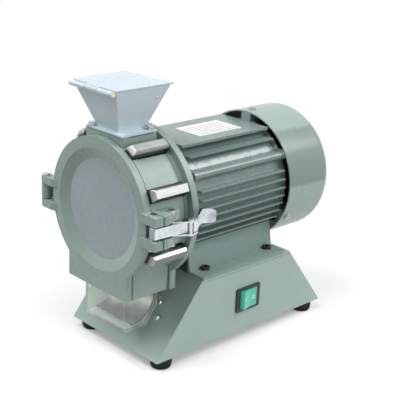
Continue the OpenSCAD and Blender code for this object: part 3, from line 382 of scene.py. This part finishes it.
def rim_group():
    """The cut rims of a clear box: one along its edges, nought on its faces."""
    group, start, end = new_group(
        "cut rims",
        (("Low", "NodeSocketVector", (-0.0325, -0.1235, 0.036)),
         ("High", "NodeSocketVector", (0.0325, -0.079, 0.078)),
         ("Width", "NodeSocketFloat", 0.0018), ("Floor Share", "NodeSocketFloat", 0.3)),
        (("Mask", "NodeSocketFloat"),),
    )
    where = object_vector(group)
    depth = vector_maths(
        group, "MINIMUM", vector_maths(group, "SUBTRACT", where, start.outputs["Low"]),
        vector_maths(group, "SUBTRACT", start.outputs["High"], where),
    )
    apart = axes(group, depth)
    near = [ramp(group, apart[axis], 0.0, start.outputs["Width"], 1.0, 0.0)
            for axis in "XYZ"]
    total = maths(group, "MULTIPLY", near[2], start.outputs["Floor Share"])
    for first, second in ((0, 1), (1, 2), (2, 0)):
        total = maths(group, "ADD", total, maths(group, "MULTIPLY", near[first], near[second]))
    wire(group, maths(group, "MINIMUM", total, 1.0), end.inputs["Mask"])
    return group


def tint(material, group, values, colour_value):
    """Mixes a second colour into a finish where a mask group says so."""
    tree = material.node_tree
    mask = tree.nodes.new("ShaderNodeGroup")
    mask.node_tree = GROUPS[group]
    for label, value in values.items():
        mask.inputs[label].default_value = value
    target = tree.nodes["pattern"].inputs["Color"]
    first = target.links[0].from_socket if target.is_linked else tuple(target.default_value)
    wire(tree, mix_colour(tree, mask.outputs["Mask"], first, colour_value), target)
    return mask.outputs["Mask"]


GROUPS = {}


def surface(name, group, values, bump=0.02, distance=0.0002, **sockets):
    """A material: its pattern from a node group, its uniform values on the shader."""
    material = bpy.data.materials.new(name)
    material.use_nodes = True
    tree = material.node_tree
    shader = tree.nodes["Principled BSDF"]
    for label, value in sockets.items():
        shader.inputs[label.replace("_", " ")].default_value = value
    pattern = tree.nodes.new("ShaderNodeGroup")
    pattern.name = "pattern"
    pattern.node_tree = GROUPS[group]
    for label, value in values.items():
        pattern.inputs[label].default_value = value
    wire(tree, pattern.outputs["Color"], shader.inputs["Base Color"])
    wire(tree, pattern.outputs["Roughness"], shader.inputs["Roughness"])
    if bump:
        raised = tree.nodes.new("ShaderNodeBump")
        raised.inputs["Strength"].default_value = bump
        raised.inputs["Distance"].default_value = distance
        wire(tree, pattern.outputs["Height"], raised.inputs["Height"])
        wire(tree, raised.outputs["Normal"], shader.inputs["Normal"])
    return material


def full(values):
    return (*values, 1.0)


# ---------------------------------------------------------------- finishes

FINISH = {}


def enamel(name, colour_value, mottling, low, high, bump, shine=0.3):
    return surface(
        name, "enamel",
        {"Color": full(colour_value), "Mottling": mottling, "Gloss Low": low, "Gloss High": high},
        bump, Specular_IOR_Level=shine,
    )


def moulded(name, colour_value, low, high, **sockets):
    """Plastic or rubber with a fine grit from the mould."""
    return surface(
        name, "enamel",
        {"Color": full(colour_value), "Mottling": 0.15, "Gloss Low": low, "Gloss High": high,
         "Grit": 1.0}, 0.12, **sockets,
    )


def metal(name, colour_value, contrast, streaks, low=0.22, high=0.40, bump=0.04):
    return surface(
        name, "brushed",
        {"Color": full(colour_value), "Contrast": contrast, "Streaks": streaks,
         "Gloss Low": low, "Gloss High": high}, bump, Metallic=1.0,
    )


def make_groups():
    GROUPS["enamel"] = enamel_group()
    GROUPS["brushed"] = brushed_group()
    GROUPS["disc"] = disc_group()
    GROUPS["tone"] = painted_reflection_group()
    GROUPS["rim"] = rim_group()


def make_enamels(paint):
    peel = paint.peel
    FINISH["sheet enamel"] = enamel("sheet enamel", paint.sheet, 0.03, 0.34, 0.46, peel, 0.12)
    FINISH["cast enamel"] = enamel("cast enamel", paint.casting, 0.035, 0.24, 0.34, peel)
    FINISH["door enamel"] = enamel("door enamel", paint.casting, 0.035, 0.24, 0.34, peel)
    # Painted reflection: the dish floor within 52.4 mm of the door's centre takes the bluish grey.
    tint(FINISH["door enamel"], "disc", {"Radius": 0.0524}, full(paint.dish))
    FINISH["motor enamel"] = enamel("motor enamel", paint.motor, 0.04, 0.20, 0.30, peel)
    # Painted reflection of a strip light along the motor's barrel and ribs.
    tint(FINISH["motor enamel"], "tone",
         {"Peak": 0.63, "Half Width": 0.055, "Fade": 0.025, "Unevenness": 0.02},
         full(paint.gleam))
    FINISH["cradle enamel"] = enamel("cradle enamel", paint.cradle, 0.03, 0.26, 0.36, peel, 0.2)
    FINISH["cowl enamel"] = enamel("cowl enamel", paint.cowl, 0.02, 0.20, 0.28, peel * 0.5)
    # Painted reflection: the cowl is darker in a band from level faces to about fifty degrees up.
    tint(FINISH["cowl enamel"], "tone",
         {"Peak": 0.395, "Half Width": 0.37, "Fade": 0.05, "Unevenness": 0.01},
         full(paint.cowl_reflection_band))
    FINISH["hopper enamel"] = enamel("hopper enamel", paint.hopper, 0.03, 0.28, 0.40, peel)
    FINISH["lid enamel"] = enamel("lid enamel", paint.lid, 0.02, 0.26, 0.36, peel * 0.5)
    FINISH["white print"] = enamel("white print", (0.86, 0.88, 0.86), 0.03, 0.3, 0.42, 0.0)


def make_plastics(paint):
    FINISH["rubber"] = moulded("moulded rubber", (0.014, 0.015, 0.016), 0.55, 0.75,
                               Specular_IOR_Level=0.2)
    FINISH["black plastic"] = moulded("black plastic", (0.018, 0.019, 0.020), 0.34, 0.5)
    FINISH["rocker plastic"] = surface(
        "rocker plastic", "enamel", {"Color": full(paint.rocker), "Mottling": 0.10,
                                     "Gloss Low": 0.16, "Gloss High": 0.26}, 0.0,
        # The faint green emission is painted light that lifts the rocker out of the shade of its bezel.
        Coat_Weight=0.3, Emission_Color=(0.01, 0.35, 0.22, 1), Emission_Strength=0.2,
    )


def make_metals():
    FINISH["knife steel"] = metal(
        "brushed knife steel", (0.12, 0.122, 0.118), 0.12, (1100.0, 26.0, 1100.0), 0.28, 0.40)
    # Painted reflection: faces turned up and towards the front right are lightened, standing in for a
    # bright room mirrored in the bars.
    tint(FINISH["knife steel"], "tone", {"Direction": (0.5, -0.3, 0.8)},
         (0.50, 0.505, 0.485, 1))
    # Painted shade: the bars are darkened within 83.5 mm of the drum's axis, where shade falls on their
    # sides near the drum.
    tint(FINISH["knife steel"], "disc", {"Radius": 0.0835, "Soft Edge": 0.007},
         (0.085, 0.085, 0.08, 1))
    FINISH["sheet steel"] = metal(
        "brushed sheet steel", (0.07, 0.069, 0.064), 0.14, (26.0, 900.0, 900.0), 0.34, 0.5)
    # Painted highlight: faces that turn about thirty degrees up are lightened, standing in for the light
    # caught along the scoop's curve.
    tint(FINISH["sheet steel"], "tone",
         {"Peak": 0.5, "Half Width": 0.08, "Fade": 0.4, "Unevenness": 0.08},
         (0.62, 0.62, 0.57, 1))
    FINISH["screw steel"] = metal(
        "zinc-plated steel", (0.44, 0.45, 0.46), 0.2, (300.0, 300.0, 300.0))
    FINISH["black steel"] = metal(
        "black-oxide steel", (0.055, 0.057, 0.060), 0.3, (300.0, 300.0, 300.0), 0.35, 0.55)
    FINISH["bright steel"] = metal(
        "ground steel", (0.58, 0.59, 0.58), 0.15, (900.0, 900.0, 40.0))
    FINISH["plated steel"] = metal(
        "plated latch steel", (0.26, 0.275, 0.30), 0.05, (90.0, 90.0, 90.0), 0.08, 0.16, 0.02)
    # Painted reflection: faces turned towards the right are lightened, standing in for the room mirrored
    # in the latch's plating.
    tint(FINISH["plated steel"], "tone",
         {"Direction": (0.9, 0.3, 0.3), "Peak": 0.8, "Fade": 0.9, "Unevenness": 0.35},
         (0.64, 0.70, 0.71, 1))
    FINISH["brass"] = metal("bare brass", (0.70, 0.60, 0.38), 0.15, (60.0, 900.0, 900.0))
    FINISH["copper wire"] = metal(
        "enamelled copper", (0.50, 0.19, 0.08), 0.25, (500.0, 500.0, 500.0), bump=0.2)
    FINISH["alloy"] = metal(
        "cast alloy", (0.48, 0.49, 0.50), 0.12, (400.0, 400.0, 400.0), 0.4, 0.55, 0.1)


def make_clear():
    """Clear acrylic with frosted, slightly yellow cut rims."""
    clear = FINISH["clear"] = surface(
        "clear acrylic", "enamel", {"Color": (0.95, 0.985, 0.955, 1), "Mottling": 0.01,
                                    "Gloss Low": 0.0, "Gloss High": 0.04}, 0.0,
        Transmission_Weight=0.86, IOR=1.09,
    )
    mask = tint(clear, "rim", {}, (0.96, 0.95, 0.88, 1))
    tree = clear.node_tree
    rough = tree.nodes["Principled BSDF"].inputs["Roughness"]
    smooth = rough.links[0].from_socket
    wire(tree, maths(tree, "ADD", smooth, maths(tree, "MULTIPLY", mask, 0.55)), rough)


def make_finishes(paint):
    make_groups()
    make_enamels(paint)
    make_plastics(paint)
    make_metals()
    make_clear()


# ---------------------------------------------------------------- making and dressing


def soften(piece, width, segments=2, angle=35):
    """Rounds a piece's sharp edges by the small radius that paint or tooling leaves."""
    weld = piece.modifiers.new("weld", "WELD")
    weld.merge_threshold = 0.00001
    bevel = piece.modifiers.new("edge radius", "BEVEL")
    bevel.width = width * MM
    bevel.segments = segments
    bevel.limit_method = "ANGLE"
    bevel.angle_limit = math.radians(angle)
    bevel.use_clamp_overlap = True
    shade = piece.modifiers.new("even shading", "WEIGHTED_NORMAL")
    shade.mode = "FACE_AREA"
    shade.weight = 100
    shade.keep_sharp = True


def dress(finish, *names, edge=0.0, segments=2):
    for name in names:
        node = NODES[name]
        node.data.materials.clear()
        node.data.materials.append(FINISH[finish])
        if edge:
            soften(node, edge, segments)


def add_piece(name, mesh_builder, finish, body, edge=0.0):
    """A new piece from a function that fills a bmesh, riding on a body."""
    mesh = bpy.data.meshes.new(name)
    shape = bmesh.new()
    mesh_builder(shape)
    bmesh.ops.recalc_face_normals(shape, faces=shape.faces)
    shape.to_mesh(mesh)
    shape.free()
    piece = bpy.data.objects.new(name, mesh)
    bpy.context.scene.collection.objects.link(piece)
    mesh.materials.append(FINISH[finish])
    if edge:
        soften(piece, edge)
    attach(piece, body)


def block(shape, low, high):
    made = bmesh.ops.create_cube(shape, size=1.0)
    low, high = Vector(low), Vector(high)
    middle, size = (low + high) / 2, high - low
    for vert in made["verts"]:
        vert.co = Vector(a * b for a, b in zip(vert.co, size)) + middle


def turned(shape, profile, centre, axis, around=24):
    """A round solid from [radius, height] points, with its axis through a centre."""
    turn = Vector(axis).normalized().to_track_quat("Z", "Y")
    rings = []
    for radius, height in profile:
        ring = []
        for i in range(around):
            angle = 2 * math.pi * i / around
            local = Vector((radius * math.cos(angle), radius * math.sin(angle), height))
            ring.append(shape.verts.new(turn @ local + Vector(centre)))
        rings.append(ring)
    for low, high in zip(rings, rings[1:]):
        for i in range(around):
            shape.faces.new((low[i - 1], low[i], high[i], high[i - 1]))
    shape.faces.new(rings[0])
    shape.faces.new(rings[-1])


def flat_mark(shape, outline, hole, place, depth):
    """A thin printed mark, a ring or a filled outline, that a placing function sets in space."""
    rings = [ring for ring in (outline, hole) if ring]
    lower = [[shape.verts.new(place(u, v, 0)) for u, v in ring] for ring in rings]
    upper = [[shape.verts.new(place(u, v, depth)) for u, v in ring] for ring in rings]
    count = len(outline)
    for low, high in zip(lower, upper):
        for i in range(count):
            shape.faces.new((low[i - 1], low[i], high[i], high[i - 1]))
    for level in (lower, upper):
        if hole:
            for i in range(count):
                shape.faces.new((level[0][i - 1], level[0][i], level[1][i], level[1][i - 1]))
        else:
            shape.faces.new(level[0])


# ---------------------------------------------------------------- operators


class MILL_OT_stage(Operator):
    """Sets up the floor, the room, the lamps and the camera"""

    bl_idname = "mill.stage"
    bl_label = "Stage"

    def execute(self, context):
        studio = context.scene.mill_studio
        scene = context.scene
        scene.view_settings.view_transform = "Standard"

        camera = bpy.data.objects.new("camera", bpy.data.cameras.new("camera"))
        scene.collection.objects.link(camera)
        camera.data.sensor_width = 36.0
        camera.data.lens = CAMERA_LENS
        camera.data.shift_x, camera.data.shift_y = CAMERA_SHIFT
        camera.data.clip_start = 0.01
        camera.data.clip_end = 50.0
        level = math.cos(CAMERA_PITCH)
        forward = Vector((
            -math.sin(CAMERA_YAW) * level, math.cos(CAMERA_YAW) * level, -math.sin(CAMERA_PITCH)
        ))
        right = forward.cross(Vector((0, 0, 1))).normalized()
        up = right.cross(forward)
        across = right * math.cos(CAMERA_ROLL) + up * math.sin(CAMERA_ROLL)
        upward = up * math.cos(CAMERA_ROLL) - right * math.sin(CAMERA_ROLL)
        turn = Matrix((across, upward, -forward)).transposed()
        camera.matrix_world = Matrix.Translation(CAMERA_PLACE) @ turn.to_4x4()
        scene.camera = camera

        self.make_floor(scene, studio.glow)
        self.make_room(scene, studio.world)
        for name, turn, rise, size, power in (
            ("low lamp", -125, 15, 0.6, studio.low), ("front lamp", -125, 40, 0.6, studio.front),
            ("hinge lamp", -155, 28, 0.6, studio.hinge), ("high lamp", -90, 65, 0.6, studio.high),
            ("side lamp", 0, 15, 0.6, studio.side), ("rear lamp", 45, 42, 0.7, studio.rear),
        ):
            self.make_lamp(scene, name, turn, rise, size, power)
        return {"FINISHED"}

    def make_floor(self, scene, glow):
        mesh = bpy.data.meshes.new("studio floor")
        shape = bmesh.new()
        bmesh.ops.create_circle(shape, cap_ends=True, segments=96, radius=FLOOR_RADIUS)
        shape.to_mesh(mesh)
        shape.free()
        floor = bpy.data.objects.new("studio_floor", mesh)
        scene.collection.objects.link(floor)
        material = bpy.data.materials.new("studio floor")
        material.use_nodes = True
        tree = material.node_tree
        shader = tree.nodes["Principled BSDF"]
        wire(tree, mix_colour(tree, shown_to(tree), (0.70, 0.71, 0.71, 1), (0.98, 0.98, 0.98, 1)),
             shader.inputs["Base Color"])
        shader.inputs["Emission Strength"].default_value = glow
        wire(tree, mix_colour(tree, shown_to(tree), (0, 0, 0, 1), (1, 1, 1, 1)),
             shader.inputs["Emission Color"])
        shader.inputs["Roughness"].default_value = 0.9
        shader.inputs["Specular IOR Level"].default_value = 0.0
        far = vector_maths(tree, "LENGTH", object_vector(tree))
        fade = ramp(tree, far, FLOOR_FADE_START, FLOOR_FADE_END, 1.0, 0.0)
        below = tree.nodes.new("ShaderNodeNewGeometry").outputs["Backfacing"]
        wire(tree, maths(tree, "MULTIPLY", fade, maths(tree, "SUBTRACT", 1.0, below)),
             shader.inputs["Alpha"])
        mesh.materials.append(material)

    def make_room(self, scene, strength):
        world = bpy.data.worlds.new("pale room")
        scene.world = world
        world.use_nodes = True
        tree = world.node_tree
        back = tree.nodes["Background"]
        back.inputs["Color"].default_value = (1, 1, 1, 1)
        wire(tree, ramp(tree, shown_to(tree), 0.0, 1.0, strength, 1.0), back.inputs["Strength"])

    def make_lamp(self, scene, name, turn, rise, size, power):
        """A soft square lamp, at a turn about the mill and a rise over the floor in degrees."""
        turn, rise = math.radians(turn), math.radians(rise)
        out = Vector((
            math.cos(turn) * math.cos(rise), math.sin(turn) * math.cos(rise), math.sin(rise)
        ))
        lamp = bpy.data.objects.new(name, bpy.data.lights.new(name, "AREA"))
        lamp.data.energy = power
        lamp.data.size = size
        lamp.location = LAMP_AIM + out * LAMP_DISTANCE
        lamp.rotation_mode = "QUATERNION"
        lamp.rotation_quaternion = (-out).to_track_quat("-Z", "Y")
        scene.collection.objects.link(lamp)


class MILL_OT_base(Operator):
    """Finishes the folded base, its feet and what is inside it"""

    bl_idname = "mill.base"
    bl_label = "Base"

    def execute(self, context):
        dress("sheet enamel", "base_shell", edge=0.7)
        dress("cradle enamel", "motor_cradle", edge=0.7)
        dress("sheet enamel", "base_floor_plate")
        dress("sheet enamel", "box_shelf", edge=0.25)
        dress("rubber", "rubber_feet", edge=0.8)
        dress("screw steel", "foot_screws", "capacitor_clip")
        dress("black steel", "cradle_bolts", edge=0.3)
        dress("screw steel", "shelf_screws", edge=0.2)
        dress("black plastic", "power_inlet", edge=0.3)
        dress("black plastic", "run_capacitor")
        dress("brass", "inlet_blades")
        return {"FINISHED"}


class MILL_OT_motor(Operator):
    """Finishes the motor, its cowl and its inner parts"""

    bl_idname = "mill.motor"
    bl_label = "Motor"

    def execute(self, context):
        dress("motor enamel", "motor_housing", "front_end_shield", "rear_end_shield", edge=0.5)
        dress("cowl enamel", "fan_cowl", edge=0.4)
        dress("screw steel", "cowl_screws", edge=0.2)
        dress("black steel", "tie_bolts", edge=0.2)
        dress("black steel", "stator_core")
        dress("copper wire", "stator_windings")
        dress("bright steel", "front_bearing", "rear_bearing", "motor_shaft")
        dress("alloy", "rotor_core")
        dress("black plastic", "cooling_fan")
        return {"FINISHED"}


class MILL_OT_plate(Operator):
    """Adds the bare rating plate with its ruled lines on top of the motor"""

    bl_idname = "mill.plate"
    bl_label = "Rating plate"

    def execute(self, context):
        plate = context.scene.mill_plate
        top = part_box("motor_housing")[1].z
        low_x, low_y = -18 * MM, -15 * MM
        high_x, high_y = low_x + plate.width, low_y + plate.length
        add_piece(
            "rating_plate",
            lambda s: block(s, (low_x, low_y, top), (high_x, high_y, top + 0.4 * MM)),
            "white print", "frame", edge=0.15,
        )

        def rules(shape):
            step = plate.lines
            count = int((plate.width - 6 * MM) / step)
            for i in range(count):
                x = high_x - 4 * MM - i * step
                block(shape, (x - 0.25 * MM, low_y + 4 * MM, top + 0.4 * MM),
                      (x + 0.25 * MM, high_y - 4 * MM, top + 0.45 * MM))

        add_piece("plate_rules", rules, "black steel", "frame")
        return {"FINISHED"}


class MILL_OT_drum(Operator):
    """Finishes the knife drum, its knives and the rotor"""

    bl_idname = "mill.drum"
    bl_label = "Drum"

    def execute(self, context):
        dress("cast enamel", "drum_body", "back_plate", edge=0.5)
        dress("knife steel", "fixed_knives", edge=0.9, segments=3)
        dress("knife steel", "rotor_knives", edge=0.15)
        dress("sheet steel", "sieve")
        dress("bright steel", "rotor_hub", "rotor_nut", edge=0.3)
        dress("black steel", "knife_bolts", "drum_bolts", edge=0.2)
        dress("screw steel", "plate_screws")
        dress("rubber", "shaft_seal")
        return {"FINISHED"}


class MILL_OT_door(Operator):
    """Finishes the door, its hinge and the latch"""

    bl_idname = "mill.door"
    bl_label = "Door and latch"

    def execute(self, context):
        dress("door enamel", "door", edge=1.0, segments=3)
        dress("rubber", "door_gasket")
        dress("bright steel", "hinge_pin", "catch_pin", "lever_pin", "toggle_pin", edge=0.4)
        dress("plated steel", "latch_strap", "latch_lever", edge=0.45)
        return {"FINISHED"}


class MILL_OT_hopper(Operator):
    """Finishes the hopper, its lid and its rod"""

    bl_idname = "mill.hopper"
    bl_label = "Hopper"

    def execute(self, context):
        dress("hopper enamel", "hopper", edge=0.4)
        dress("lid enamel", "hopper_lid", edge=0.4)
        dress("brass", "lid_rod", edge=0.3)
        dress("screw steel", "hopper_bolts", edge=0.3)
        return {"FINISHED"}


class MILL_OT_box(Operator):
    """Finishes the clear collecting box and its scoop"""

    bl_idname = "mill.box"
    bl_label = "Collecting box"

    def execute(self, context):
        dress("clear", "collecting_box", edge=0.3)
        dress("sheet steel", "box_liner")
        return {"FINISHED"}


class MILL_OT_trim(Operator):
    """Adds painted shadow strips between the drum's pad and the hopper's flange, the hopper's rivets, the
    set screw of its hinge and painted shade for the grooves in the pins' heads
    """

    bl_idname = "mill.trim"
    bl_label = "Small trim"

    def execute(self, context):
        add_piece("hopper_seam", self.seam, "rubber", "frame")
        add_piece("hopper_rivets", self.rivets, "screw steel", "frame")
        add_piece("hinge_set_screw", self.set_screw, "black steel", "frame")
        # Painted shade: thin black strips on the pins' heads stand in for the shade inside their grooves.
        for pin, body in (("catch_pin", "door"), ("lever_pin", "frame")):
            low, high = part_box(pin)
            add_piece(pin + "_slot", lambda s: self.slot(s, (low + high) / 2, high.z),
                      "black steel", body)
        return {"FINISHED"}

    def seam(self, shape):
        """Thin dark rubber strips on both sides, painted shadow in the gap between the drum's pad and the
        hopper's flange.
        """
        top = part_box("hopper_bolts")[0].z + 12 * MM
        for side in (-1, 1):
            near, far = sorted((side * 29 * MM, side * 29.1 * MM))
            block(shape, (near, -118 * MM, top - 1.0 * MM), (far, -87 * MM, top - 0.35 * MM))

    def rivets(self, shape):
        for side in (-1, 1):
            turned(shape, [(1.7 * MM, -0.4 * MM), (1.7 * MM, 0.2 * MM), (1.3 * MM, 0.6 * MM),
                           (0.6 * MM, 0.85 * MM)],
                   (side * 29.4 * MM, -83.6 * MM, 278.7 * MM), (side, 0, -0.38))

    def set_screw(self, shape):
        turned(shape, [(0.9 * MM, -0.4 * MM), (0.9 * MM, 0.0), (0.6 * MM, 0.12 * MM)],
               (-13 * MM, -143.0 * MM, 287.16 * MM), (0, -1, -1), 16)

    def slot(self, shape, centre, top):
        # Painted shade: a flat black strip on the pin's head instead of a cut groove.
        block(shape, (centre.x - 2.4 * MM, centre.y - 0.3 * MM, top),
              (centre.x + 2.4 * MM, centre.y + 0.3 * MM, top + 0.05 * MM))


class MILL_OT_switch(Operator):
    """Finishes the rocker switch and adds its marks"""

    bl_idname = "mill.switch"
    bl_label = "Switch"

    def execute(self, context):
        dress("black plastic", "switch_frame", edge=0.4)
        dress("rocker plastic", "switch_rocker", edge=0.4)
        joints = {j["name"]: j for j in FRAME["record"]["behaviour"]["joints"]}
        pivot = Vector(joints["switch_press"]["pos_m"])
        self.mark("rocker_off_mark", pivot, 4.6, 4.0, 12.4, self.circle(2.3), self.circle(1.5))
        self.mark("rocker_on_mark", pivot, 4.6, 8.0, -12.4, self.bar(0.45, 2.3), None)
        return {"FINISHED"}

    def circle(self, radius, count=32):
        return [(radius * math.cos(2 * math.pi * i / count),
                 radius * math.sin(2 * math.pi * i / count)) for i in range(count)]

    def bar(self, half_width, half_height):
        return [(-half_width, -half_height), (half_width, -half_height),
                (half_width, half_height), (-half_width, half_height)]

    def mark(self, name, pivot, near_x, far_x, far_y, outline, hole):
        """A mark in the middle of one sloping half of the rocker."""
        start, end = Vector((near_x, 0, 0)), Vector((far_x, far_y, 0))
        along = (end - start).normalized()
        out = Vector((abs(along.y), -along.x * math.copysign(1, along.y), 0))
        middle = start + (end - start) * 0.55

        def place(u, v, depth):
            return pivot + (middle + along * u + Vector((0, 0, v)) + out * (depth + 0.01)) * MM

        add_piece(name, lambda s: flat_mark(s, outline, hole, place, 0.05),
                  "white print", "rocker")


class MILL_PT_panel(Panel):
    """Lists the steps that dress the mill"""

    bl_idname = "MILL_PT_panel"
    bl_label = "Grain Mill"
    bl_space_type = "VIEW_3D"
    bl_region_type = "UI"
    bl_category = "Mill"

    def draw(self, context):
        for group in SETTINGS:
            settings = getattr(context.scene, group)
            for name in settings.bl_rna.properties.keys():
                if name not in {"rna_type", "name"}:
                    self.layout.prop(settings, name)
        for step in STEPS:
            self.layout.operator(step.bl_idname)


SETTINGS = {"mill_paint": MillPaint, "mill_plate": MillPlate, "mill_studio": MillStudio}
STEPS = (
    MILL_OT_stage, MILL_OT_base, MILL_OT_motor, MILL_OT_plate, MILL_OT_drum, MILL_OT_door,
    MILL_OT_hopper, MILL_OT_box, MILL_OT_switch, MILL_OT_trim,
)


def register():
    for cls in (*SETTINGS.values(), *STEPS, MILL_PT_panel):
        bpy.utils.register_class(cls)
    for name, cls in SETTINGS.items():
        setattr(bpy.types.Scene, name, PointerProperty(type=cls))


def unregister():
    for name in SETTINGS:
        delattr(bpy.types.Scene, name)
    for cls in reversed((*SETTINGS.values(), *STEPS, MILL_PT_panel)):
        bpy.utils.unregister_class(cls)


def main():
    register()
    for old in [o for o in bpy.data.objects if o.name in {"Cube", "Light", "Camera"}]:
        bpy.data.objects.remove(old)
    make_finishes(bpy.context.scene.mill_paint)
    for step in STEPS:
        section, name = step.bl_idname.split(".")
        getattr(getattr(bpy.ops, section), name)()


if __name__ == "__main__":
    main()
